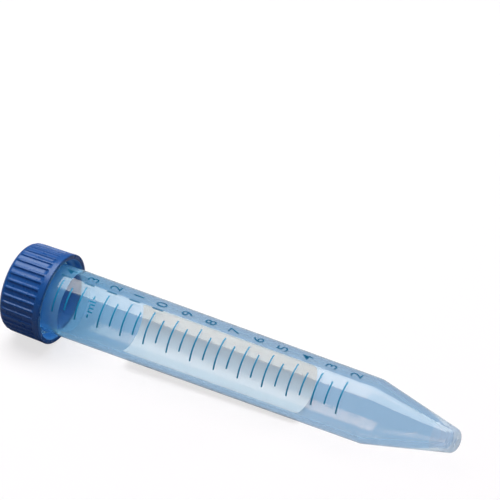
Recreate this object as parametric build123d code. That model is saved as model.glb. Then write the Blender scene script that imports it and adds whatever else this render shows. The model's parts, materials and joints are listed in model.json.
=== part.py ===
from build123d import *

import math
import os

# A 15 ml conical-bottom tube and its one-piece screw cap, screwed shut and lying on its side.
#
# Both pieces are turned about one axis. In the comments a station is a distance along that
# axis, measured from the tip of the cone towards the cap. Lengths are millimetres, angles degrees.
# Once drawn, the pieces are laid down together on the cone's shoulder and the rim of the cap,
# with the cap towards -X, the tip towards +X, and the surface that they lie on at Z = 0.

# Whole product
TOTAL_LENGTH = 120.0      # from the tip to the top of the seated cap

# Tube, outside
SHOULDER_STATION = 23.15  # where the cone meets the body
SHOULDER_RADIUS = 8.11
BODY_DRAFT = 0.233        # the body widens towards its mouth, inside and outside alike
TIP_RADIUS = 2.77         # flat end of the cone, before its edge is rounded
TIP_ROUND = 1.6
LIP_ROUND = 0.3

# Tube, inside
WALL = 1.25               # body wall, square to the surface
FLOOR = 2.4               # thickness of plastic under the lowest point of the bore
BORE_TIP_RADIUS = 1.2     # flat bottom of the bore, before its edge is rounded
BORE_TIP_ROUND = 0.8

# Cap, outside
CAP_HEIGHT = 11.8
RIM_WALL = 1.43           # skirt at its open end, from its bore to the edge of the plain band
RIM_ROUND = 0.2
BAND_HEIGHT = 1.65
BAND_DRAFT = 3.5          # the band flares towards the rim
CREST_DRAFT = 1.3         # the ribs lean in towards the closed end
CROWN_ROUND = 2.4         # edge of the closed end

# Cap, grip ribs
RIB_COUNT = 36
FIRST_RIB_ANGLE = 1.0     # from the line nearest the floor, towards -Y
RIB_HEIGHT = 0.36         # crest above the floor of the flutes
RIB_CREST_WIDTH = 0.46
RIB_ROOT_WIDTH = 0.90

# Cap, inside
CROWN_THICKNESS = 1.35
SKIRT_MOUTH_CHAMFER = 0.3
SKIRT_INNER_ROUND = 0.5
PLUG_DEPTH = 3.6          # how far the plug seal reaches into the tube
PLUG_WALL = 1.05
PLUG_CHAMFER = 0.35

# Clearances
THREAD_ROOM = 1.45        # neck of the tube to the bore of the skirt, on the radius
LIP_CLEARANCE = 0.10      # lip of the tube to the underside of the crown
PLUG_CLEARANCE = 0.10     # plug seal to the bore, on the radius

# Stations and radii that follow from the sizes above
RIM_STATION = TOTAL_LENGTH - CAP_HEIGHT
BAND_TOP_STATION = RIM_STATION + BAND_HEIGHT
CROWN_UNDERSIDE = TOTAL_LENGTH - CROWN_THICKNESS
TUBE_LENGTH = CROWN_UNDERSIDE - LIP_CLEARANCE
PLUG_END_STATION = CROWN_UNDERSIDE - PLUG_DEPTH
RIB_PITCH = 360.0 / RIB_COUNT


def slope(angle):
    """Change of radius per millimetre of station for a draft angle."""
    return math.tan(math.radians(angle))


def body_radius(station):
    """Outer radius of the tube's body at a station above the shoulder."""
    return SHOULDER_RADIUS + (station - SHOULDER_STATION) * slope(BODY_DRAFT)


def bore_radius(station):
    """Inner radius of the tube's body at a station above the shoulder."""
    return body_radius(station) - WALL / math.cos(math.radians(BODY_DRAFT))


def skirt_bore_radius():
    """Bore of the cap's skirt, which clears the neck by the room for the thread."""
    return body_radius(TUBE_LENGTH) + THREAD_ROOM


def rim_radius():
    """Outer radius of the cap at its open end, where the plain band is widest."""
    return skirt_bore_radius() + RIM_WALL


def crest_radius(station):
    """Radius over the crests of the cap's ribs at a station above the band."""
    band_top = rim_radius() - BAND_HEIGHT * slope(BAND_DRAFT)
    return band_top - (station - BAND_TOP_STATION) * slope(CREST_DRAFT)


def bore_shoulder_station():
    """Station where the bore's cone begins, one wall inside the outer shoulder."""
    cone_angle = math.atan2(SHOULDER_RADIUS - TIP_RADIUS, SHOULDER_STATION)
    turn = cone_angle - math.radians(BODY_DRAFT)
    return SHOULDER_STATION + WALL * math.tan(turn / 2)


def corner(profile, radius, station):
    """The corner of a profile nearest to a radius and a station."""
    return profile.vertices().sort_by_distance((radius, station, 0))[0]


def turned(profile):
    """Turn a profile of (radius, station) about the axis."""
    return revolve(Plane.XZ * profile, axis=Axis.Z)


def make_tube():
    """The moulded tube: conical tip, drafted body and plain neck, in one wall."""
    mouth_radius = body_radius(TUBE_LENGTH)
    mouth_bore_radius = bore_radius(TUBE_LENGTH)
    bore_shoulder = bore_shoulder_station()
    outline = Polyline(
        (0, 0),
        (TIP_RADIUS, 0),
        (SHOULDER_RADIUS, SHOULDER_STATION),
        (mouth_radius, TUBE_LENGTH),
        (mouth_bore_radius, TUBE_LENGTH),
        (bore_radius(bore_shoulder), bore_shoulder),
        (BORE_TIP_RADIUS, FLOOR),
        (0, FLOOR),
        close=True,
    )
    profile = make_face(outline)
    profile = fillet(corner(profile, TIP_RADIUS, 0), TIP_ROUND)
    profile = fillet(corner(profile, BORE_TIP_RADIUS, FLOOR), BORE_TIP_ROUND)
    profile = fillet(corner(profile, mouth_radius, TUBE_LENGTH), LIP_ROUND)
    profile = fillet(corner(profile, mouth_bore_radius, TUBE_LENGTH), LIP_ROUND)
    return turned(profile)


def make_cap_blank():
    """The cap before its flutes: crown, skirt with a plain band, and plug seal."""
    rim = rim_radius()
    skirt_bore = skirt_bore_radius()
    crown_radius = crest_radius(TOTAL_LENGTH)
    plug_radius = bore_radius(PLUG_END_STATION) - PLUG_CLEARANCE
    plug_bore_radius = plug_radius - PLUG_WALL
    outline = Polyline(
        (0, TOTAL_LENGTH),
        (crown_radius, TOTAL_LENGTH),
        (crest_radius(BAND_TOP_STATION), BAND_TOP_STATION),
        (rim, RIM_STATION),
        (skirt_bore, RIM_STATION),
        (skirt_bore, CROWN_UNDERSIDE),
        (plug_radius, CROWN_UNDERSIDE),
        (plug_radius, PLUG_END_STATION),
        (plug_bore_radius, PLUG_END_STATION),
        (plug_bore_radius, CROWN_UNDERSIDE),
        (0, CROWN_UNDERSIDE),
        close=True,
    )
    profile = make_face(outline)
    profile = fillet(corner(profile, crown_radius, TOTAL_LENGTH), CROWN_ROUND)
    profile = fillet(corner(profile, rim, RIM_STATION), RIM_ROUND)
    profile = fillet(corner(profile, skirt_bore, CROWN_UNDERSIDE), SKIRT_INNER_ROUND)
    profile = chamfer(corner(profile, skirt_bore, RIM_STATION), SKIRT_MOUTH_CHAMFER)
    profile = chamfer(corner(profile, plug_radius, PLUG_END_STATION), PLUG_CHAMFER)
    return turned(profile)


def make_rib():
    """One grip rib, over-long and over-high, leaning in with the draft of the crests."""
    past = 1.0
    crest = crest_radius(BAND_TOP_STATION)
    flank = (RIB_ROOT_WIDTH - RIB_CREST_WIDTH) / (2 * RIB_HEIGHT)
    inner_half = RIB_ROOT_WIDTH / 2 + past * flank
    outer_half = RIB_CREST_WIDTH / 4
    section = make_face(Polyline(
        (crest - RIB_HEIGHT - past, -inner_half),
        (crest + outer_half / flank, -outer_half),
        (crest + outer_half / flank, outer_half),
        (crest - RIB_HEIGHT - past, inner_half),
        close=True,
    ))
    lean = math.radians(CREST_DRAFT)
    start = Pos(0, 0, BAND_TOP_STATION)
    return extrude(start * section, amount=CAP_HEIGHT, dir=(-math.sin(lean), 0, math.cos(lean)))


def make_flutes():
    """The ring of plastic that is missing between the ribs, open towards the closed end."""
    past = 1.0
    end_station = TOTAL_LENGTH + past
    outer_radius = rim_radius() + past
    ring = turned(make_face(Polyline(
        (crest_radius(BAND_TOP_STATION) - RIB_HEIGHT, BAND_TOP_STATION),
        (outer_radius, BAND_TOP_STATION),
        (outer_radius, end_station),
        (crest_radius(end_station) - RIB_HEIGHT, end_station),
        close=True,
    )))
    rib = make_rib()
    ribs = [Rot(0, 0, FIRST_RIB_ANGLE + index * RIB_PITCH) * rib for index in range(RIB_COUNT)]
    return ring - ribs


def make_screw_cap():
    """The moulded cap: the fluted blank, in one piece with its plug seal."""
    return make_cap_blank() - make_flutes()


def resting_slope():
    """Angle of the axis to the floor, with the shoulder and the cap's rim both touching it.

    The cap touches on the rounding of its rim, whose centre is one rounding inside each face.
    """
    across = rim_radius() - RIM_ROUND - SHOULDER_RADIUS
    along = RIM_STATION + RIM_ROUND - SHOULDER_STATION
    span = math.hypot(across, along)
    return math.atan2(across, along) + math.asin(RIM_ROUND / span)


def resting_plane(pieces):
    """Plane that lays the pieces on the floor: its normal runs along the axis to the cap."""
    lean = resting_slope()
    along = Vector(-math.cos(lean), 0, math.sin(lean))
    down = Vector(-math.sin(lean), 0, -math.cos(lean))
    tilted = Plane(origin=(0, 0, 0), x_dir=down, z_dir=along)
    box = Compound(children=[tilted.location * piece for piece in pieces]).bounding_box()
    return Plane(origin=(-box.center().X, 0, -box.min.Z), x_dir=down, z_dir=along)


def main():
    """Draw both pieces, lay them down and write each to its own file."""
    pieces = {
        "tube": make_tube(),
        "screw_cap": make_screw_cap(),
    }
    plane = resting_plane(pieces.values())
    os.makedirs("parts", exist_ok=True)
    for name, piece in pieces.items():
        export_step(plane.location * piece, f"parts/{name}.step")
        print(f"{name}: {piece.volume:.1f} mm3")
    print(f"axis slopes {math.degrees(resting_slope()):.3f} degrees, tip of the axis at {plane.origin}")


if __name__ == "__main__":
    main()
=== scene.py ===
import json
import logging
import math
from collections.abc import Callable, Sequence
from dataclasses import dataclass
from enum import Enum

import bmesh
import bpy
import numpy as np
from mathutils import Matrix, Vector


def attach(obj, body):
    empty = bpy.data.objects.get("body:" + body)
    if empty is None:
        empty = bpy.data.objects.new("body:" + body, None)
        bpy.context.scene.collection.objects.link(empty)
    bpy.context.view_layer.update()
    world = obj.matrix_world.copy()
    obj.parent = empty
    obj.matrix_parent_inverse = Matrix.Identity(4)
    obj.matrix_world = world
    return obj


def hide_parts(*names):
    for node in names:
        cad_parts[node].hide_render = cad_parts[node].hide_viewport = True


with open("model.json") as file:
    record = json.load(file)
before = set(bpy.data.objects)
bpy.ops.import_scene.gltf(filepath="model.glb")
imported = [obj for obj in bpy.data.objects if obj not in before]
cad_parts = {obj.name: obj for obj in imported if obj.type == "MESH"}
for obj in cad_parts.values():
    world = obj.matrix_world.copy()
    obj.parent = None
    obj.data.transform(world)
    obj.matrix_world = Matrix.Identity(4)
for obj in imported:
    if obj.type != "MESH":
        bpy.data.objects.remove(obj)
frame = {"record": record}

# The looks of a 15 ml conical tube and its screw cap, lying on a pale studio floor.
#
# Sizes are in millimetres and angles in degrees until a point is placed in the row frame,
# which is in metres. A station is a distance along the tube's axis from its tip. An angle
# round the axis is counted from the line nearest the floor towards the side at -Y.

MM = 0.001
LOG = logging.getLogger("conical_tube")

Point = tuple[float, float]             # radius and station, or across and along
Triple = tuple[float, float, float]     # a place in metres, or linear red, green and blue
Socket = bpy.types.NodeSocket
Artwork = bmesh.types.BMesh             # flat faces, x across the tube and y the station


def smooth(value: np.ndarray | float, low: float, high: float) -> np.ndarray | float:
    """Ease from 0 at low to 1 at high.

    Args:
        value: The number, or array of numbers, to ease.
        low: Where the ease leaves 0.
        high: Where it reaches 1.

    Returns:
        Numbers from 0 to 1, of the same shape as value.
    """
    t = np.clip((value - low) / (high - low), 0.0, 1.0)
    return t * t * (3.0 - 2.0 * t)


def arc_points(centre: Point, radius: float, start: float, end: float, steps: int) -> list[Point]:
    """Points on an arc of a profile, both ends included.

    Args:
        centre: Radius and station of the arc's centre.
        radius: Radius of the arc itself.
        start: Angle of the first point, from the outward direction towards higher stations.
        end: Angle of the last point.
        steps: How many chords the arc is cut into.

    Returns:
        (radius, station) pairs.
    """
    turns = np.radians(np.linspace(start, end, steps + 1))
    return [(centre[0] + radius * math.cos(a), centre[1] + radius * math.sin(a)) for a in turns]


def run_points(start: Point, end: Point, spacing: float) -> list[Point]:
    """Evenly spaced points strictly between two points of a profile.

    Args:
        start: Radius and station where the run starts.
        end: Radius and station where it ends.
        spacing: Largest distance between neighbours.

    Returns:
        (radius, station) pairs, without the two ends.
    """
    count = max(1, math.ceil(math.dist(start, end) / spacing))
    return [
        (start[0] + (end[0] - start[0]) * i / count, start[1] + (end[1] - start[1]) * i / count)
        for i in range(1, count)
    ]


@dataclass(frozen=True)
class TubeAxis:
    """The axis that both pieces are turned about, where the frame says it lies."""

    tip: Vector
    along: Vector
    down: Vector
    side: Vector

    @classmethod
    def from_record(cls, record: dict, total_length: float) -> "TubeAxis":
        """Read the axis from the mount on the closed end of the cap.

        Args:
            record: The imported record.
            total_length: Millimetres from the tip to the closed end.

        Returns:
            The axis, from the tip towards the cap.
        """
        mount = next(m for m in record["mounts"] if m["name"] == "cap_top")
        along = Vector(mount["axis"]).normalized()
        down = (Vector((0, 0, -1)) - Vector((0, 0, -1)).dot(along) * along).normalized()
        tip = Vector(mount["pos_m"]) - along * total_length * MM
        return cls(tip=tip, along=along, down=down, side=along.cross(down))

    def place(self, radius: np.ndarray, angle: np.ndarray, station: np.ndarray) -> np.ndarray:
        """Turn radii, angles and stations into points of the row frame.

        Args:
            radius: Distances from the axis, in millimetres.
            angle: Angles round the axis, in degrees.
            station: Distances from the tip along the axis, in millimetres.

        Returns:
            An array with one more dimension, of x, y and z in metres.
        """
        turn = np.radians(angle)
        parts = (
            (radius * np.cos(turn), self.down),
            (radius * np.sin(turn), self.side),
            (station + 0.0 * radius, self.along),
        )
        moved = sum(np.multiply.outer(amount * MM, np.array(direction)) for amount, direction in parts)
        return np.array(self.tip) + moved


def object_from(name: str, vertices: np.ndarray, faces: Sequence[Sequence[int]],
                materials: Sequence[bpy.types.Material], slots: Sequence[int] | None = None,
                rounded: bool = True) -> bpy.types.Object:
    """Make a mesh object.

    Args:
        name: Name of the piece.
        vertices: One row of x, y and z for each vertex, in metres.
        faces: Vertex numbers of each face.
        materials: The materials of the piece, in the order of their slots.
        slots: The material slot of each face, or None where all use the first.
        rounded: Whether its shading runs smoothly over the edges.

    Returns:
        The object, linked to the scene.
    """
    mesh = bpy.data.meshes.new(name)
    mesh.from_pydata(vertices.reshape(-1, 3).tolist(), [], faces)
    for material in materials:
        mesh.materials.append(material)
    if slots is not None:
        mesh.polygons.foreach_set("material_index", slots)
    if rounded:
        mesh.shade_smooth()
    mesh.validate()
    mesh.update()
    piece = bpy.data.objects.new(name, mesh)
    bpy.context.scene.collection.objects.link(piece)
    return piece


def face_outwards(piece: bpy.types.Object) -> None:
    """Turn a closed solid's faces so that their fronts are outside."""
    solid = bmesh.new()
    solid.from_mesh(piece.data)
    bmesh.ops.recalc_face_normals(solid, faces=solid.faces[:])
    if solid.calc_volume(signed=True) < 0.0:
        bmesh.ops.reverse_faces(solid, faces=solid.faces[:])
    solid.to_mesh(piece.data)
    solid.free()


def hoop_faces(rows: int, columns: int) -> list[tuple[int, int, int, int]]:
    """Faces that join rings of vertices one after another.

    Args:
        rows: How many rings there are.
        columns: Vertices in each ring.

    Returns:
        Four vertex numbers for each face.
    """
    faces = []
    for here in range(0, (rows - 1) * columns, columns):
        there = here + columns
        for column in range(columns):
            after = (column + 1) % columns
            faces.append((there + column, there + after, here + after, here + column))
    return faces


def turned_object(name: str, axis: TubeAxis, profile: Sequence[Point], angles: np.ndarray,
                  materials: Sequence[bpy.types.Material], slots: Sequence[int],
                  reshape: Callable[[np.ndarray, np.ndarray, np.ndarray], np.ndarray],
                  ) -> bpy.types.Object:
    """Turn a profile about the axis into a closed solid.

    The profile starts and ends on the axis.

    Args:
        name: Name of the piece.
        axis: The axis it is turned about.
        profile: (radius, station) pairs in order, from one point on the axis to another.
        angles: The angles of the mesh's columns, in degrees.
        materials: The materials of the piece.
        slots: Material slot of each step of the profile.
        reshape: Gives new radii from arrays of radius, angle and station.

    Returns:
        The solid, as one object.
    """
    points = np.array(profile)
    radius, turn = np.meshgrid(points[1:-1, 0], angles, indexing="ij")
    station = np.repeat(points[1:-1, 1:2], len(angles), axis=1)
    rings = axis.place(reshape(radius, turn, station), turn, station).reshape(-1, 3)
    ends = axis.place(np.zeros(2), np.zeros(2), points[[0, -1], 1])
    rows, columns = station.shape
    first, last = rows * columns, rows * columns + 1
    base = (rows - 1) * columns
    faces: list[tuple[int, ...]] = [(first, (i + 1) % columns, i) for i in range(columns)]
    faces += hoop_faces(rows, columns)
    faces += [(last, base + i, base + (i + 1) % columns) for i in range(columns)]
    face_slots = np.repeat(np.array(slots), columns)
    piece = object_from(name, np.vstack([rings, ends]), faces, materials, face_slots)
    face_outwards(piece)
    return piece


# ---------------------------------------------------------------- finishes


class Nodes:
    """A node tree under construction: short calls that add and join its nodes."""

    def __init__(self, tree: bpy.types.NodeTree) -> None:
        """Start with that tree emptied."""
        self.tree = tree
        self.tree.nodes.clear()

    def add(self, kind: str, **settings: object) -> bpy.types.Node:
        """Add a node and set its properties.

        Args:
            kind: The node's type name.
            **settings: Properties of the node, and values for the sockets of those names.

        Returns:
            The new node.
        """
        node = self.tree.nodes.new(kind)
        for key, value in settings.items():
            if hasattr(node, key):
                setattr(node, key, value)
            else:
                node.inputs[key.replace("_", " ")].default_value = value
        return node

    def join(self, source: Socket, target: Socket) -> None:
        """Link one socket to another."""
        self.tree.links.new(source, target)

    def combine(self, operation: str, first: Socket,
                second: Socket | float) -> Socket:
        """Work out a sum, a product or a comparison.

        Args:
            operation: The name of the Math node's operation.
            first: The socket that gives the first number.
            second: The socket that gives the second, or the number itself.

        Returns:
            The socket that gives the result.
        """
        node = self.add("ShaderNodeMath", operation=operation)
        self.join(first, node.inputs[0])
        if isinstance(second, float):
            node.inputs[1].default_value = second
        else:
            self.join(second, node.inputs[1])
        return node.outputs["Value"]

    def mixed(self, share: Socket | float, first: bpy.types.Node,
              second: bpy.types.Node) -> Socket:
        """Mix two shaders.

        Args:
            share: The socket that gives the share of the second shader, or the share itself.
            first: The shader at a share of 0.
            second: The shader at a share of 1.

        Returns:
            The socket that gives the mixed surface.
        """
        mix = self.add("ShaderNodeMixShader")
        if isinstance(share, float):
            mix.inputs["Fac"].default_value = share
        else:
            self.join(share, mix.inputs["Fac"])
        self.join(first.outputs[0], mix.inputs[1])
        self.join(second.outputs[0], mix.inputs[2])
        return mix.outputs["Shader"]

    def looked_at(self) -> Socket:
        """Tell the rays that are looked along from those that only light things.

        A ray is looked along straight from the eye, or through clear plastic.

        Returns:
            The socket that gives 1 for a ray that is looked along and 0 for any other.
        """
        path = self.add("ShaderNodeLightPath")
        straight = self.combine("MAXIMUM", path.outputs["Is Camera Ray"], path.outputs["Is Transmission Ray"])
        inside = self.combine("GREATER_THAN", path.outputs["Transmission Depth"], 0.5)
        mirrored = self.combine("MULTIPLY", path.outputs["Is Glossy Ray"], inside)
        return self.combine("MAXIMUM", straight, mirrored)


class Shader(Nodes):
    """A material under construction."""

    def __init__(self, name: str) -> None:
        """Start an empty node material of that name."""
        self.material = bpy.data.materials.new(name)
        self.material.use_nodes = True
        super().__init__(self.material.node_tree)
        self.output = self.add("ShaderNodeOutputMaterial")

    def principled(self, colour: Triple, **values: float) -> bpy.types.Node:
        """Add the main surface shader.

        Args:
            colour: Linear red, green and blue.
            **values: Values for the sockets of those names.

        Returns:
            The shader node.
        """
        node = self.add("ShaderNodeBsdfPrincipled", **values)
        node.inputs["Base Color"].default_value = (*colour, 1.0)
        return node

    def noise(self, scale: float, detail: float) -> Socket:
        """Add a noise that is fixed to the piece.

        Args:
            scale: Cells in a metre.
            detail: Octaves of finer noise.

        Returns:
            The socket that gives the noise, from 0 to 1.
        """
        place = self.add("ShaderNodeTexCoord")
        node = self.add("ShaderNodeTexNoise", Scale=scale, Detail=detail)
        self.join(place.outputs["Object"], node.inputs["Vector"])
        return node.outputs["Fac"]

    def spread(self, source: Socket, low: float, high: float,
               source_low: float = 0.3, source_high: float = 0.7) -> Socket:
        """Map a number onto a range. Unless told otherwise, the number is a noise's.

        Args:
            source: The socket that gives the number.
            low: Result at source_low.
            high: Result at source_high.
            source_low: Where the source's own range starts.
            source_high: Where it ends.

        Returns:
            The socket that gives the result.
        """
        node = self.add("ShaderNodeMapRange")
        values = {"From Min": source_low, "From Max": source_high, "To Min": low, "To Max": high}
        for key, value in values.items():
            node.inputs[key].default_value = value
        self.join(source, node.inputs["Value"])
        return node.outputs["Result"]

    def bump(self, height: Socket, shader: bpy.types.Node, distance: float) -> None:
        """Roughen a shader's surface.

        Args:
            height: The socket that gives the height, from 0 to 1.
            shader: The shader whose normal it turns.
            distance: The height of 1, in millimetres.
        """
        node = self.add("ShaderNodeBump", Strength=1.0, Distance=distance * MM)
        self.join(height, node.inputs["Height"])
        self.join(node.outputs["Normal"], shader.inputs["Normal"])

    def finish(self, surface: Socket) -> bpy.types.Material:
        """Join the surface to the output and give the material."""
        self.join(surface, self.output.inputs["Surface"])
        return self.material


@dataclass(frozen=True)
class ClearPlastic:
    """Clear moulded polypropylene. A lamp's light passes straight through it, tinted.

    Light that the plastic has mirrored inside itself a few times leaves it straight ahead.
    """

    name: str
    tint: Triple
    lamp_tint: Triple = (0.97, 0.98, 0.99)
    # The tint at the cap end, reached over the deepening span, is painted light: it paints the cap's blue
    # light into the wall.
    cap_end_tint: Triple | None = None
    deepening: tuple[float, float] = (-0.018, -0.046)   # along X, in metres
    clarity: float = 1.0
    refraction: float = 1.49
    roughness: float = 0.035
    roughness_spread: tuple[float, float] = (0.7, 1.5)
    haze_scale: float = 900.0
    mirrorings: float = 2.5

    def build(self) -> bpy.types.Material:
        """Make the material."""
        shader = Shader(self.name)
        plastic = shader.principled(self.tint, Roughness=self.roughness, IOR=self.refraction)
        plastic.inputs["Transmission Weight"].default_value = self.clarity
        # Painted light: the tint deepens towards the cap.
        if self.cap_end_tint is not None:
            shader.join(self.deepening_tint(shader), plastic.inputs["Base Color"])
        haze = shader.noise(self.haze_scale, detail=3.0)
        smoothest, roughest = (self.roughness * share for share in self.roughness_spread)
        shader.join(shader.spread(haze, smoothest, roughest), plastic.inputs["Roughness"])
        clear = shader.add("ShaderNodeBsdfTransparent", Color=(*self.lamp_tint, 1.0))
        path = shader.add("ShaderNodeLightPath")
        lamp = shader.combine("MAXIMUM", path.outputs["Is Shadow Ray"], path.outputs["Is Diffuse Ray"])
        trapped = shader.combine("GREATER_THAN", path.outputs["Glossy Depth"], self.mirrorings)
        straight_on = shader.combine("MAXIMUM", lamp, trapped)
        return shader.finish(shader.mixed(straight_on, plastic, clear))

    def deepening_tint(self, shader: Shader) -> Socket:
        """Deepen the tint towards the cap: painted blue light from the cap, not the plastic's own colour.

        Args:
            shader: The material under construction.

        Returns:
            The socket that gives the tint.
        """
        place = shader.add("ShaderNodeTexCoord")
        parts = shader.add("ShaderNodeSeparateXYZ")
        shader.join(place.outputs["Object"], parts.inputs["Vector"])
        tint = shader.add("ShaderNodeMix", data_type="RGBA")
        tint.inputs["A"].default_value = (*self.tint, 1.0)
        tint.inputs["B"].default_value = (*self.cap_end_tint, 1.0)
        share = shader.spread(parts.outputs["X"], 0.0, 1.0, *self.deepening)
        shader.join(share, tint.inputs["Factor"])
        return tint.outputs["Result"]


@dataclass(frozen=True)
class CapPlastic:
    """Coloured satin moulded plastic, with a faint grain and slight variation of gloss.

    A lamp's light comes through the thin skirt to what is inside. It passes the inner surface
    first, and the outer one with a layer behind it, so the cap's own shadow stays whole.
    """

    name: str
    colour: Triple
    layers: int
    roughness: float
    let_through: Triple = (0.42, 0.56, 0.64)
    roughness_spread: tuple[float, float] = (-0.05, 0.07)
    patch_scale: float = 260.0
    patch_tones: tuple[float, float] = (0.75, 1.15)
    patch_share: float = 0.18
    grain_scale: float = 4200.0
    grain_height: float = 0.004

    def build(self) -> bpy.types.Material:
        """Make the material."""
        shader = Shader(self.name)
        plastic = shader.principled(self.colour, Roughness=self.roughness, IOR=1.5, Specular_IOR_Level=0.4)
        patches = shader.noise(self.patch_scale, detail=3.0)
        smoothest, roughest = (self.roughness + change for change in self.roughness_spread)
        shader.join(shader.spread(patches, smoothest, roughest), plastic.inputs["Roughness"])
        shade = shader.add("ShaderNodeMix", data_type="RGBA", blend_type="MULTIPLY")
        shade.inputs["Factor"].default_value = self.patch_share
        shade.inputs["A"].default_value = (*self.colour, 1.0)
        shader.join(shader.spread(patches, *self.patch_tones), shade.inputs["B"])
        shader.join(shade.outputs["Result"], plastic.inputs["Base Color"])
        grain = shader.noise(self.grain_scale, detail=2.0)
        shader.bump(grain, plastic, self.grain_height)
        clear = shader.add("ShaderNodeBsdfTransparent", Color=(*self.let_through, 1.0))
        path = shader.add("ShaderNodeLightPath")
        passed = shader.combine("GREATER_THAN", path.outputs["Transparent Depth"], self.layers - 0.5)
        lamp = shader.combine("MULTIPLY", path.outputs["Is Shadow Ray"], passed)
        return shader.finish(shader.mixed(lamp, plastic, clear))


@dataclass(frozen=True)
class Ink:
    """Screen-printed ink, a little uneven where the mesh of the screen left it thin.

    A pale ink glows faintly to whoever looks at it through the tube: its backlight is a painted glow, an
    emission that stands in for the light behind it.
    """

    name: str
    colour: Triple
    thin_colour: Triple
    roughness: float = 0.3
    backlight: float = 0.0
    backlight_colour: Triple = (1.0, 0.97, 0.84)
    mesh_scale: float = 1500.0
    mesh_height: float = 0.003
    thin_range: tuple[float, float] = (0.25, 0.5)

    def build(self) -> bpy.types.Material:
        """Make the material."""
        shader = Shader(self.name)
        ink = shader.principled(self.colour, Roughness=self.roughness, IOR=1.5, Specular_IOR_Level=0.25)
        cover = shader.noise(self.mesh_scale, detail=3.0)
        shade = shader.add("ShaderNodeMix", data_type="RGBA")
        shade.inputs["A"].default_value = (*self.thin_colour, 1.0)
        shade.inputs["B"].default_value = (*self.colour, 1.0)
        shader.join(shader.spread(cover, 0.0, 1.0, *self.thin_range), shade.inputs["Factor"])
        shader.join(shade.outputs["Result"], ink.inputs["Base Color"])
        shader.bump(cover, ink, self.mesh_height)
        # Painted glow: an emission seen only through the tube, standing in for the light behind the ink.
        if self.backlight > 0.0:
            path = shader.add("ShaderNodeLightPath")
            glow = shader.combine("MULTIPLY", path.outputs["Is Transmission Ray"], self.backlight)
            ink.inputs["Emission Color"].default_value = (*self.backlight_colour, 1.0)
            shader.join(glow, ink.inputs["Emission Strength"])
        return shader.finish(ink.outputs["BSDF"])


@dataclass(frozen=True)
class FloorPaper:
    """Matt white studio paper, lit from behind as well. It throws back less light than it shows."""

    name: str
    shown: float
    thrown: float
    backlight: float

    def build(self) -> bpy.types.Material:
        """Make the material."""
        shader = Shader(self.name)
        lit = shader.add("ShaderNodeBsdfDiffuse", Color=(self.shown, self.shown, self.shown, 1.0))
        glow = shader.add("ShaderNodeEmission", Strength=1.0)
        shown = shader.mixed(self.backlight, lit, glow)
        thrown = shader.add("ShaderNodeBsdfDiffuse", Color=(self.thrown, self.thrown, self.thrown, 1.0))
        return shader.finish(shader.mixed(shader.looked_at(), thrown, shown.node))


class Finish(Enum):
    """The finishes of this object."""

    # The outside wall's deeper blue towards the cap is painted light from the cap.
    WALL_OUTSIDE = ClearPlastic("tube_outside", (0.29, 0.465, 0.65), cap_end_tint=(0.13, 0.34, 0.55))
    WALL_INSIDE = ClearPlastic("tube_inside", (1.0, 1.0, 1.0), lamp_tint=(1.0, 1.0, 1.0))
    TIP = ClearPlastic("tube_tip", (0.42, 0.58, 0.75), clarity=0.8)
    # The neck's strong blue tint is painted light: it stands in for the cap's blue light on the neck.
    NECK = ClearPlastic("tube_neck_painted_cap_light", (0.21, 0.57, 0.84), lamp_tint=(0.94, 0.97, 1.0), clarity=0.6)
    CAP = CapPlastic("cap_blue", (0.008, 0.088, 0.31), layers=1, roughness=0.27)
    # The inside is a lighter copy of the cap's blue: painted light, on top of the lamp light that the skirt
    # lets in.
    CAP_INSIDE = CapPlastic("cap_inside_painted_light_blue", (0.06, 0.30, 0.70), layers=0, roughness=0.4)
    LINE_INK = Ink("line_ink", (0.004, 0.25, 0.46), thin_colour=(0.01, 0.29, 0.50))
    # The figures' ink is a darker copy of the line ink: painted shade against the stronger light on the top
    # of the tube, where the figures stand.
    FIGURE_INK = Ink("figure_ink_painted_shade", (0.004, 0.13, 0.25), thin_colour=(0.01, 0.16, 0.29))
    # The patch's backlight is a painted glow.
    PATCH_INK = Ink(
        "patch_ink", (0.80, 0.83, 0.80), thin_colour=(0.75, 0.78, 0.75), roughness=0.6, backlight=0.24)

    def material(self) -> bpy.types.Material:
        """The finish's material, made the first time that it is asked for."""
        return bpy.data.materials.get(self.value.name) or self.value.build()


# ---------------------------------------------------------------- pieces


class Hand(Enum):
    """Which way a thread's ridge stands."""

    OUTSIDE = 1.0
    INSIDE = -1.0


@dataclass(frozen=True)
class Thread:
    """A single-start right-hand screw thread, as a ridge on a turned surface."""

    hand: Hand
    pitch: float
    height: float
    first_station: float
    turns: float
    crest_width: float
    root_width: float
    phase: float = 0.0
    fade: float = 0.12

    def rise(self, angle: np.ndarray, station: np.ndarray) -> np.ndarray:
        """Height of the ridge, in millimetres away from its surface.

        Args:
            angle: Angles round the axis, in degrees.
            station: Stations of the same points.

        Returns:
            The heights, 0 away from the ridge.
        """
        turn = ((angle - self.phase) % 360.0) / 360.0
        rise = np.zeros_like(station)
        for lap in range(-1, math.ceil(self.turns) + 1):
            way = turn + lap
            centre = self.first_station + self.pitch * way
            ends = smooth(way, 0.0, self.fade) * (1.0 - smooth(way, self.turns - self.fade, self.turns))
            away = np.abs(station - centre)
            shape = 1.0 - smooth(away, self.crest_width / 2, self.root_width / 2)
            rise = np.maximum(rise, shape * ends)
        return rise * self.height * self.hand.value


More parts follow.
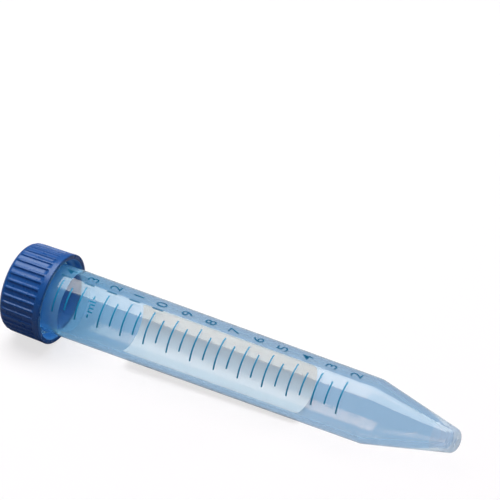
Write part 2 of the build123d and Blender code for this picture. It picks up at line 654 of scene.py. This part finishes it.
@dataclass
class Tube:
    """The moulded tube: cone, drafted body, threaded neck and lip, with a clear wall."""

    axis: TubeAxis
    length: float = 118.55
    shoulder_station: float = 23.15
    shoulder_radius: float = 8.11
    draft: float = 0.233
    tip_radius: float = 2.77
    tip_round: float = 1.6
    shoulder_round: float = 5.543
    wall: float = 1.25
    floor: float = 2.4
    bore_tip_radius: float = 1.2
    bore_tip_round: float = 0.8
    bore_shoulder_round: float = 5.0
    lip_round: float = 0.3
    tip_clear: float = 4.2
    # Above neck_station the outside takes the neck finish, whose blue is painted light from the cap.
    neck_station: float = 104.0
    thread_lead: float = 1.5
    columns: int = 256
    body_spacing: float = 4.0
    cone_spacing: float = 1.5
    thread_spacing: float = 0.14
    tip_spacing: float = 0.4
    bore_tip_spacing: float = 0.25
    thread: Thread = Thread(
        Hand.OUTSIDE, pitch=3.0, height=0.95, first_station=109.9, turns=1.9, crest_width=0.5,
        root_width=1.4)

    def body_radius(self, station: float) -> float:
        """Outer radius of the body at a station."""
        slope = math.tan(math.radians(self.draft))
        return self.shoulder_radius + (station - self.shoulder_station) * slope

    def bore_radius(self, station: float) -> float:
        """Inner radius of the body at a station."""
        return self.body_radius(station) - self.wall / math.cos(math.radians(self.draft))

    def bore_shoulder(self) -> float:
        """Station where the bore's cone begins."""
        cone = math.atan2(self.shoulder_radius - self.tip_radius, self.shoulder_station)
        return self.shoulder_station + self.wall * math.tan((cone - math.radians(self.draft)) / 2)

    def volume_below(self, station: float) -> float:
        """Millilitres that the tube holds when filled to a station above its cone."""
        shoulder = self.bore_shoulder()
        low, high = self.bore_radius(shoulder), self.bore_radius(station)
        tip = self.bore_tip_radius
        cone = (shoulder - self.floor) * (tip * tip + tip * low + low * low)
        body = (station - shoulder) * (low * low + low * high + high * high)
        return math.pi / 3.0 * (cone + body) / 1000.0

    def station_of(self, volume: float) -> float:
        """Station of the surface of that many millilitres, found by halving."""
        low, high = self.bore_shoulder(), self.length
        for _ in range(40):
            middle = (low + high) / 2
            if self.volume_below(middle) < volume:
                low = middle
            else:
                high = middle
        return (low + high) / 2

    def outside(self) -> list[Point]:
        """Profile of the outside, from the middle of the tip to the top of the lip."""
        start, foot = (0.0, 0.0), (self.tip_radius, 0.0)
        corner = (self.shoulder_radius, self.shoulder_station)
        mouth = (self.body_radius(self.length), self.length)
        bore = (self.bore_radius(self.length), self.length)
        neck_station = self.thread.first_station - self.thread_lead
        neck = (self.body_radius(neck_station), neck_station)
        tip = rounded_corner(start, foot, corner, self.tip_round, 12)
        shoulder = rounded_corner(foot, corner, mouth, self.shoulder_round, 6)
        lip = rounded_corner(corner, mouth, bore, self.lip_round, 6)
        points = [start, *run_points(start, tip[0], self.tip_spacing), *tip]
        points += [*run_points(tip[-1], shoulder[0], self.cone_spacing), *shoulder]
        points += [*run_points(shoulder[-1], neck, self.body_spacing), neck]
        points += [*run_points(neck, lip[0], self.thread_spacing), *lip]
        return points

    def inside(self) -> list[Point]:
        """Profile of the bore, from the top of the lip to the middle of its floor."""
        outer = (self.body_radius(self.length), self.length)
        mouth = (self.bore_radius(self.length), self.length)
        shoulder = (self.bore_radius(self.bore_shoulder()), self.bore_shoulder())
        tip, middle = (self.bore_tip_radius, self.floor), (0.0, self.floor)
        lip = rounded_corner(outer, mouth, shoulder, self.lip_round, 6)
        turn = rounded_corner(mouth, shoulder, tip, self.bore_shoulder_round, 6)
        end = rounded_corner(shoulder, tip, middle, self.bore_tip_round, 10)
        points = [*lip, *run_points(lip[-1], turn[0], self.body_spacing), *turn]
        points += [*run_points(turn[-1], end[0], self.cone_spacing), *end]
        points += [*run_points(end[-1], middle, self.bore_tip_spacing), middle]
        return points

    def slot(self, station: float) -> int:
        """Material slot of the outside above a station: the tip, the neck, whose blue is painted light from
        the cap, or the wall.
        """
        if station < self.tip_clear:
            return 2
        return 3 if station > self.neck_station else 0

    def build(self) -> bpy.types.Object:
        """Make the tube as one closed solid with its thread.

        Returns:
            The tube, riding on its body.
        """
        outside, inside = self.outside(), self.inside()
        count = len(outside)

        def with_thread(radius: np.ndarray, angle: np.ndarray, station: np.ndarray) -> np.ndarray:
            """Add the thread to the outside only."""
            rise = self.thread.rise(angle, station)
            rise[count - 1:] = 0.0
            return radius + rise

        slots = [self.slot(station) for _, station in outside] + [1] * (len(inside) - 1)
        angles = np.linspace(0.0, 360.0, self.columns, endpoint=False)
        finishes = (Finish.WALL_OUTSIDE, Finish.WALL_INSIDE, Finish.TIP, Finish.NECK)
        materials = [finish.material() for finish in finishes]
        piece = turned_object(
            "clear_tube", self.axis, outside + inside, angles, materials, slots, with_thread)
        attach(piece, "tube")
        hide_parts("tube")
        return piece


def rounded_corner(before: Point, corner: Point, after: Point, radius: float, steps: int) -> list[Point]:
    """Points of the arc that rounds one corner of a profile.

    Args:
        before: The profile's point before the corner.
        corner: The corner itself.
        after: The profile's point after it.
        radius: Radius of the rounding.
        steps: How many chords the arc is cut into.

    Returns:
        (radius, station) pairs along the arc, from one tangent point to the other.
    """
    here = np.array(corner)
    back = (np.array(before) - here) / math.dist(before, corner)
    on = (np.array(after) - here) / math.dist(after, corner)
    half = math.acos(max(-1.0, min(1.0, float(back @ on)))) / 2
    middle = (back + on) / np.linalg.norm(back + on)
    centre = here + middle * radius / math.sin(half)
    start = here + back * radius / math.tan(half) - centre
    end = here + on * radius / math.tan(half) - centre
    first, last = (math.degrees(math.atan2(leg[1], leg[0])) for leg in (start, end))
    sweep = (last - first + 180.0) % 360.0 - 180.0
    return arc_points(tuple(centre.tolist()), radius, first, first + sweep, steps)


@dataclass
class ScrewCap:
    """The moulded screw cap: ribbed skirt, plain band, crown, thread and plug seal."""

    axis: TubeAxis
    tube: Tube
    top_station: float = 120.0
    height: float = 11.8
    rim_radius: float = 11.372
    rim_round: float = 0.2
    band_height: float = 1.65
    band_draft: float = 3.5
    crest_draft: float = 1.3
    crown_round: float = 2.4
    crown_thickness: float = 1.35
    rib_count: int = 36
    rib_height: float = 0.36
    rib_crest_width: float = 0.46
    rib_root_width: float = 0.90
    rib_crest_ease: float = 0.08
    rib_root_ease: float = 0.04
    rib_turn: float = 1.0
    rib_columns: tuple[float, ...] = (0.0, 0.10, 0.18, 0.24, 0.30, 0.36, 0.43, 0.52)
    flute_step: float = 0.22
    bore_radius: float = 9.948
    bore_chamfer: float = 0.3
    bore_round: float = 0.5
    plug_depth: float = 3.6
    plug_wall: float = 1.05
    plug_chamfer: float = 0.35
    plug_lip_round: float = 0.12
    plug_clearance: float = 0.10
    crown_spacing: float = 1.2
    skirt_spacing: float = 0.8
    step_spacing: float = 0.055
    band_spacing: float = 0.5
    thread_spacing: float = 0.14
    recess_spacing: float = 0.7
    thread: Thread = Thread(
        Hand.INSIDE, pitch=3.0, height=0.90, first_station=109.9, turns=2.2, crest_width=0.5,
        root_width=1.4, phase=180.0)

    @property
    def rim_station(self) -> float:
        """Station of the open end."""
        return self.top_station - self.height

    @property
    def band_station(self) -> float:
        """Station of the upper edge of the plain band."""
        return self.rim_station + self.band_height

    @property
    def underside_station(self) -> float:
        """Station of the crown's underside."""
        return self.top_station - self.crown_thickness

    @property
    def crest_radius(self) -> float:
        """Radius over the ribs where they meet the band."""
        return self.rim_radius - self.band_height * math.tan(math.radians(self.band_draft))

    def crest_at(self, station: np.ndarray | float) -> np.ndarray | float:
        """Radius over the ribs at a station."""
        slope = math.tan(math.radians(self.crest_draft))
        return self.crest_radius - (station - self.band_station) * slope

    def outside(self) -> list[Point]:
        """Profile of the outside over the ribs, from the middle of the crown to the rim."""
        middle = (0.0, self.top_station)
        crown = (float(self.crest_at(self.top_station)), self.top_station)
        band = (self.crest_radius, self.band_station)
        rim = (self.rim_radius, self.rim_station)
        edge = rounded_corner(middle, crown, band, self.crown_round, 18)
        foot = rounded_corner(band, rim, (self.bore_radius, self.rim_station), self.rim_round, 5)
        step_station = self.band_station + self.flute_step
        step = (float(self.crest_at(step_station)), step_station)
        points = [middle, *run_points(middle, edge[0], self.crown_spacing), *edge]
        points += [*run_points(edge[-1], step, self.skirt_spacing), step]
        points += [*run_points(step, band, self.step_spacing), band]
        points += [*run_points(band, foot[0], self.band_spacing), *foot]
        return points

    def inside(self) -> list[Point]:
        """Profile of the inside, from the rim round the plug seal to the middle of the crown."""
        under = self.underside_station
        end = under - self.plug_depth
        plug = self.tube.bore_radius(end) - self.plug_clearance
        plug_bore = plug - self.plug_wall
        rim = (self.bore_radius + self.bore_chamfer, self.rim_station)
        mouth = (self.bore_radius, self.rim_station + self.bore_chamfer)
        plug_root = (plug, under)
        nose = (plug, end + self.plug_chamfer)
        bore_end, bore_root, middle = (plug_bore, end), (plug_bore, under), (0.0, under)
        root = rounded_corner(mouth, (self.bore_radius, under), plug_root, self.bore_round, 6)
        lip = rounded_corner(nose, (plug - self.plug_chamfer, end), bore_end, self.plug_lip_round, 3)
        points = [rim, mouth, *run_points(mouth, root[0], self.thread_spacing), *root]
        points += [*run_points(root[-1], plug_root, self.recess_spacing), plug_root]
        points += [*run_points(plug_root, nose, self.skirt_spacing), nose, *lip, bore_end]
        points += [*run_points(bore_end, bore_root, self.skirt_spacing), bore_root]
        points += [*run_points(bore_root, middle, self.crown_spacing), middle]
        return points

    def columns(self) -> np.ndarray:
        """Angles of the mesh's columns, close together on the flanks of the ribs."""
        pitch = 360.0 / self.rib_count
        half = np.array(self.rib_columns)
        offsets = np.concatenate([-half[:0:-1], half]) / self.crest_radius
        steps = np.concatenate([np.degrees(offsets), [pitch / 2]])
        starts = [self.rib_turn + index * pitch for index in range(self.rib_count)]
        return np.concatenate([start + steps for start in starts])

    def ribbed(self, radius: np.ndarray, angle: np.ndarray, station: np.ndarray) -> np.ndarray:
        """Sink the flutes between the ribs into the outside.

        Args:
            radius: Radii over the ribs.
            angle: Angles round the axis, in degrees.
            station: Stations of the same points.

        Returns:
            The new radii.
        """
        pitch = 360.0 / self.rib_count
        away = np.abs((angle - self.rib_turn + pitch / 2) % pitch - pitch / 2)
        reach = np.radians(away) * self.crest_radius
        crest_edge = self.rib_crest_width / 2 - self.rib_crest_ease
        root_edge = self.rib_root_width / 2 + self.rib_root_ease
        rib = 1.0 - smooth(reach, crest_edge, root_edge)
        started = smooth(station, self.band_station, self.band_station + self.flute_step)
        floor = self.crest_at(station) - self.rib_height
        fluted = radius - (radius - np.minimum(radius, floor)) * (1.0 - rib)
        return radius + (fluted - radius) * started

    def build(self) -> bpy.types.Object:
        """Make the cap as one closed solid with its ribs and thread.

        Returns:
            The cap, riding on its body.
        """
        outside, inside = self.outside(), self.inside()
        count = len(outside) - 1

        def shaped(radius: np.ndarray, angle: np.ndarray, station: np.ndarray) -> np.ndarray:
            """Give the outside its flutes and the bore its thread."""
            new = self.ribbed(radius, angle, station)
            in_bore = np.isclose(radius, self.bore_radius, rtol=0.0, atol=0.01)
            threaded = radius + np.where(in_bore, self.thread.rise(angle, station), 0.0)
            new[count:] = threaded[count:]
            return new

        # The inside takes the lighter blue, which is painted light.
        slots = [0] * (count + 1) + [1] * (len(inside) - 1)
        materials = [Finish.CAP.material(), Finish.CAP_INSIDE.material()]
        piece = turned_object(
            "blue_screw_cap", self.axis, outside + inside, self.columns(), materials, slots, shaped)
        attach(piece, "cap")
        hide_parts("screw_cap")
        return piece


@dataclass
class PrintField:
    """Something printed on the outside of the tube, as a film half sunk in its surface."""

    axis: TubeAxis
    tube: Tube
    film: float = 0.02        # above the tube's surface, and as much below it

    def wrap(self, across: np.ndarray, station: np.ndarray, level: np.ndarray, centre: float) -> np.ndarray:
        """Lay flat artwork round the tube.

        Args:
            across: Distances round the tube from the artwork's middle line, in millimetres.
            station: Stations of the same points.
            level: Heights above the tube's surface.
            centre: Angle of the artwork's middle line.

        Returns:
            Points of the row frame.
        """
        radius = self.tube.body_radius(station)
        return self.axis.place(radius + level, centre + np.degrees(across / radius), station)

    def film_object(self, name: str, artwork: Artwork, centre: float,
                    finish: Finish) -> bpy.types.Object:
        """Wrap flat artwork round the tube as a closed film.

        Args:
            name: Name of the piece.
            artwork: The flat faces.
            centre: Angle of the artwork's middle line.
            finish: The ink.

        Returns:
            The film, riding on the tube.
        """
        self.cut_into_strips(artwork)
        bmesh.ops.solidify(artwork, geom=artwork.faces[:], thickness=1.0)
        flat, faces = self.in_order(artwork)
        artwork.free()
        middle = (flat[:, 2].min() + flat[:, 2].max()) / 2
        level = np.where(flat[:, 2] > middle, self.film, -self.film)
        points = self.wrap(flat[:, 0], flat[:, 1], level, centre)
        piece = object_from(name, points, faces, [finish.material()], rounded=False)
        face_outwards(piece)
        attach(piece, "tube")
        return piece

    @staticmethod
    def in_order(artwork: Artwork) -> tuple[np.ndarray, list[tuple[int, ...]]]:
        """Vertices and faces of some artwork, in an order that no cut made on it changes."""
        artwork.verts.index_update()
        points = np.array([v.co for v in artwork.verts])
        order = np.lexsort(points.round(5).T)
        rank = np.argsort(order).tolist()
        faces = []
        for face in artwork.faces:
            corners = [rank[v.index] for v in face.verts]
            start = corners.index(min(corners))
            faces.append((*corners[start:], *corners[:start]))
        return points[order], sorted(faces)

    @staticmethod
    def cut_into_strips(artwork: Artwork, strip: float = 0.25) -> None:
        """Cut flat faces along the tube, so that they can bend round it."""
        across = [v.co.x for v in artwork.verts]
        for index in range(math.floor(min(across) / strip) + 1, math.ceil(max(across) / strip)):
            bmesh.ops.bisect_plane(
                artwork, geom=artwork.verts[:] + artwork.edges[:] + artwork.faces[:],
                plane_co=(index * strip, 0, 0), plane_no=(1, 0, 0))


@dataclass
class VolumeScale(PrintField):
    """The printed scale: a long line for each millilitre, short ones half way, and figures."""

    middle_angle: float = 134.5
    long_line: float = 8.55
    short_line: float = 5.9
    line_width: float = 0.4
    first: int = 2
    last: int = 14
    stretch: float = 1.0066
    lift: float = 0.027
    figure_size: Point = (2.0, 2.85)
    units_angle: float = 186.7
    tens_angle: float = 171.5
    single_shift: float = 0.6
    unit_volume: float = 12.5
    unit_size: Point = (2.9, 1.95)
    dash_length: float = 0.85
    dash_place: float = 2.35

    def build(self) -> list[bpy.types.Object]:
        """Print the scale.

        Returns:
            The lines, the figures and the unit.
        """
        return [self.lines(), self.figures(), self.unit()]

    def station(self, volume: float) -> float:
        """Station of the line for that many millilitres.

        It is a little high, to allow for the curve of the liquid's surface.
        """
        return self.tube.station_of(volume * self.stretch + self.lift)

    def lines(self) -> bpy.types.Object:
        """All the lines of the scale, as one film."""
        artwork = bmesh.new()
        for half in range(2 * self.first, 2 * self.last + 1):
            volume = half / 2
            if volume == self.unit_volume:
                continue
            length = self.long_line if half % 2 == 0 else self.short_line
            add_rectangle(artwork, (0.0, self.station(volume)), (length, self.line_width))
        return self.film_object("scale_lines", artwork, self.middle_angle, Finish.LINE_INK)

    def figures(self) -> bpy.types.Object:
        """The figures beside the long lines, as one film. Single ones stand nearer the tip."""
        artwork = bmesh.new()
        tube_radius = self.tube.body_radius(self.tube.length / 2)
        gap = math.radians(self.units_angle - self.tens_angle) * tube_radius
        for volume in range(self.first, self.last + 1):
            tens, units = divmod(volume, 10)
            station = self.station(float(volume)) - (0.0 if tens else self.single_shift)
            add_figure(artwork, str(units), (0.0, station), self.figure_size)
            if tens:
                add_figure(artwork, str(tens), (-gap, station), self.figure_size)
        return self.film_object("scale_figures", artwork, self.units_angle, Finish.FIGURE_INK)

    def unit(self) -> bpy.types.Object:
        """The letters ml between two dashes, in place of one short line."""
        artwork = bmesh.new()
        station = self.station(self.unit_volume)
        add_figure(artwork, "ml", (0.0, station), self.unit_size)
        for across in (-self.dash_place, self.dash_place):
            add_rectangle(artwork, (across, station), (self.dash_length, self.line_width))
        return self.film_object("scale_unit", artwork, self.middle_angle, Finish.LINE_INK)


def add_rectangle(artwork: Artwork, centre: Point, size: Point) -> None:
    """Add a flat rectangle to some artwork.

    Args:
        artwork: The faces so far.
        centre: Its middle, across the tube and along it.
        size: Its width and height.
    """
    corners = ((-0.5, -0.5), (0.5, -0.5), (0.5, 0.5), (-0.5, 0.5))
    places = [(centre[0] + size[0] * x, centre[1] + size[1] * y, 0.0) for x, y in corners]
    artwork.faces.new([artwork.verts.new(place) for place in places])


def add_figure(artwork: Artwork, text: str, centre: Point, size: Point,
               weight: float = 0.002, widest: float = 1.15) -> None:
    """Add figures or letters to some artwork, stretched to a width and height.

    Args:
        artwork: The faces so far.
        text: What to write.
        centre: Its middle, across the tube and along it.
        size: Its greatest width, and its height.
        weight: How much fatter the strokes are than the font's own.
        widest: The most that a narrow figure, such as 1, is widened beside its height.
    """
    curve = bpy.data.curves.new("figure", "FONT")
    curve.body = text
    curve.resolution_u = 6
    curve.offset = weight
    writer = bpy.data.objects.new("figure", curve)
    bpy.context.scene.collection.objects.link(writer)
    bpy.context.view_layer.update()
    evaluated = writer.evaluated_get(bpy.context.evaluated_depsgraph_get())
    mesh = bpy.data.meshes.new_from_object(evaluated)
    flat = np.array([v.co for v in mesh.vertices])
    low, high = flat.min(0), flat.max(0)
    tall = size[1] / (high[1] - low[1])
    wide = min(size[0] / (high[0] - low[0]), tall * widest)
    middle = (low + high) / 2
    scale = np.array([wide, tall, 0.0])
    made = [artwork.verts.new(place) for place in (flat - middle) * scale + np.array([*centre, 0.0])]
    for polygon in mesh.polygons:
        artwork.faces.new([made[i] for i in polygon.vertices])
    bpy.data.objects.remove(writer)
    bpy.data.curves.remove(curve)
    bpy.data.meshes.remove(mesh)


@dataclass
class WritingPatch(PrintField):
    """The white writing patch on the side away from the scale."""

    middle_angle: float = -39.7
    low_station: float = 41.8
    high_station: float = 89.7
    width: float = 18.6
    corner_round: float = 1.2

    def build(self) -> bpy.types.Object:
        """Print the patch."""
        artwork = bmesh.new()
        half = self.width / 2 - self.corner_round
        low, high = self.low_station + self.corner_round, self.high_station - self.corner_round
        corners = (((half, high), 0.0), ((-half, high), 90.0), ((-half, low), 180.0), ((half, low), 270.0))
        outline = [
            point for centre, start in corners
            for point in arc_points(centre, self.corner_round, start, start + 90.0, 6)
        ]
        artwork.faces.new([artwork.verts.new((x, y, 0.0)) for x, y in outline])
        return self.film_object("writing_patch", artwork, self.middle_angle, Finish.PATCH_INK)


# ---------------------------------------------------------------- studio


@dataclass(frozen=True)
class Lamp:
    """A rectangular softbox, which lights some kinds of ray and not others."""

    name: str
    place: Triple
    size: tuple[float, float]
    power: float
    target: Triple
    colour: Triple = (1.0, 1.0, 1.0)
    diffuse: bool = True
    glossy: bool = False
    transmission: bool = False

    def build(self) -> bpy.types.Object:
        """Hang the lamp so that it faces its target."""
        data = bpy.data.lights.new(self.name, "AREA")
        data.shape = "RECTANGLE"
        data.size, data.size_y = self.size
        data.energy = self.power
        data.color = self.colour
        lamp = bpy.data.objects.new(self.name, data)
        lamp.location = self.place
        lamp.rotation_mode = "QUATERNION"
        lamp.rotation_quaternion = (Vector(self.target) - Vector(self.place)).to_track_quat("-Z", "Y")
        lamp.visible_camera = False
        lamp.visible_diffuse = self.diffuse
        lamp.visible_glossy = self.glossy
        lamp.visible_transmission = self.transmission
        bpy.context.scene.collection.objects.link(lamp)
        return lamp


@dataclass
class Studio:
    """The floor, the lamps, the world and the camera.

    Two cards hang over the tube, one just under the other. The upper one is mirrored by the
    outside of things, and the lower one is seen only from within the clear wall.
    """

    azimuth: float = 29.3245
    elevation: float = 34.5106
    distance: float = 2.0
    lens: float = 610.85
    aim: Triple = (0.00483, -0.0016, 0.04458)
    floor_size: float = 6.0
    paper: FloorPaper = FloorPaper("floor_paper", shown=0.95, thrown=0.25, backlight=0.7)
    ambient_colour: Triple = (1.25, 0.75, 1.15)
    ambient_strength: float = 0.13
    lamps: tuple[Lamp, ...] = (
        Lamp("overhead_softbox", (-0.2, 0.055, 0.65), (0.52, 0.60), 5.2, (0.0, 0.0, 0.0)),
        Lamp("overhead_card", (-0.15, 0.108, 0.61), (0.54, 0.578), 5.1, (-0.15, 0.0, 0.0),
             colour=(0.97, 1.0, 0.92), diffuse=False, glossy=True),
        Lamp("warm_card", (-0.15, 0.108, 0.60), (0.54, 0.578), 10.3, (-0.15, 0.0, 0.0),
             colour=(1.0, 0.41, 0.18), diffuse=False, transmission=True),
        Lamp("front_fill", (0.6, -0.75, 0.3), (0.5, 0.5), 0.7, (0.0, 0.0, 0.01)),
        Lamp("back_fill", (0.25, 0.8, 0.12), (0.5, 0.4), 3.0, (0.0, 0.0, 0.01)),
    )

    def backward(self) -> Vector:
        """Direction from what the camera looks at to the camera."""
        a, e = math.radians(self.azimuth), math.radians(self.elevation)
        return Vector((math.sin(a) * math.cos(e), -math.cos(a) * math.cos(e), math.sin(e)))

    def build(self) -> None:
        """Set up everything round the object."""
        self.make_camera()
        self.make_floor()
        self.make_world()
        for lamp in self.lamps:
            lamp.build()
        bpy.context.scene.view_settings.view_transform = "Standard"

    def make_camera(self) -> None:
        """Put the camera where it looks at the tube from above its tip's side."""
        data = bpy.data.cameras.new("camera")
        data.lens = self.lens
        data.sensor_width = 36.0
        data.clip_end = 20.0
        camera = bpy.data.objects.new("camera", data)
        camera.location = Vector(self.aim) + self.backward() * self.distance
        camera.rotation_mode = "QUATERNION"
        camera.rotation_quaternion = (-self.backward()).to_track_quat("-Z", "Y")
        bpy.context.scene.collection.objects.link(camera)
        bpy.context.scene.camera = camera

    def make_floor(self) -> None:
        """Lay the floor at the height that the tube rests on."""
        half = self.floor_size / 2
        corners = np.array([(-half, -half, 0), (half, -half, 0), (half, half, 0), (-half, half, 0)], float)
        floor = object_from("floor", corners, [(0, 1, 2, 3)], [self.paper.build()])

    def make_world(self) -> None:
        """White to the eye and through clear plastic, and a soft grey light on everything else."""
        world = bpy.data.worlds.new("studio")
        bpy.context.scene.world = world
        world.use_nodes = True
        nodes = Nodes(world.node_tree)
        output = nodes.add("ShaderNodeOutputWorld")
        soft = nodes.add(
            "ShaderNodeBackground", Color=(*self.ambient_colour, 1.0), Strength=self.ambient_strength)
        white = nodes.add("ShaderNodeBackground", Color=(1.0, 1.0, 1.0, 1.0), Strength=1.0)
        nodes.join(nodes.mixed(nodes.looked_at(), soft, white), output.inputs["Surface"])


def main() -> None:
    """Build the pieces in order, report each, and set up the studio."""
    logging.basicConfig(level=logging.INFO, format="%(name)s: %(message)s")
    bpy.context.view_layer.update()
    axis = TubeAxis.from_record(frame["record"], total_length=120.0)
    tube = Tube(axis)
    cap = ScrewCap(axis, tube)
    pieces = [tube.build(), cap.build(), *VolumeScale(axis, tube).build(), WritingPatch(axis, tube).build()]
    for piece in pieces:
        LOG.info("%s: %d faces", piece.name, len(piece.data.polygons))
    Studio().build()


if __name__ == "__main__":
    main()
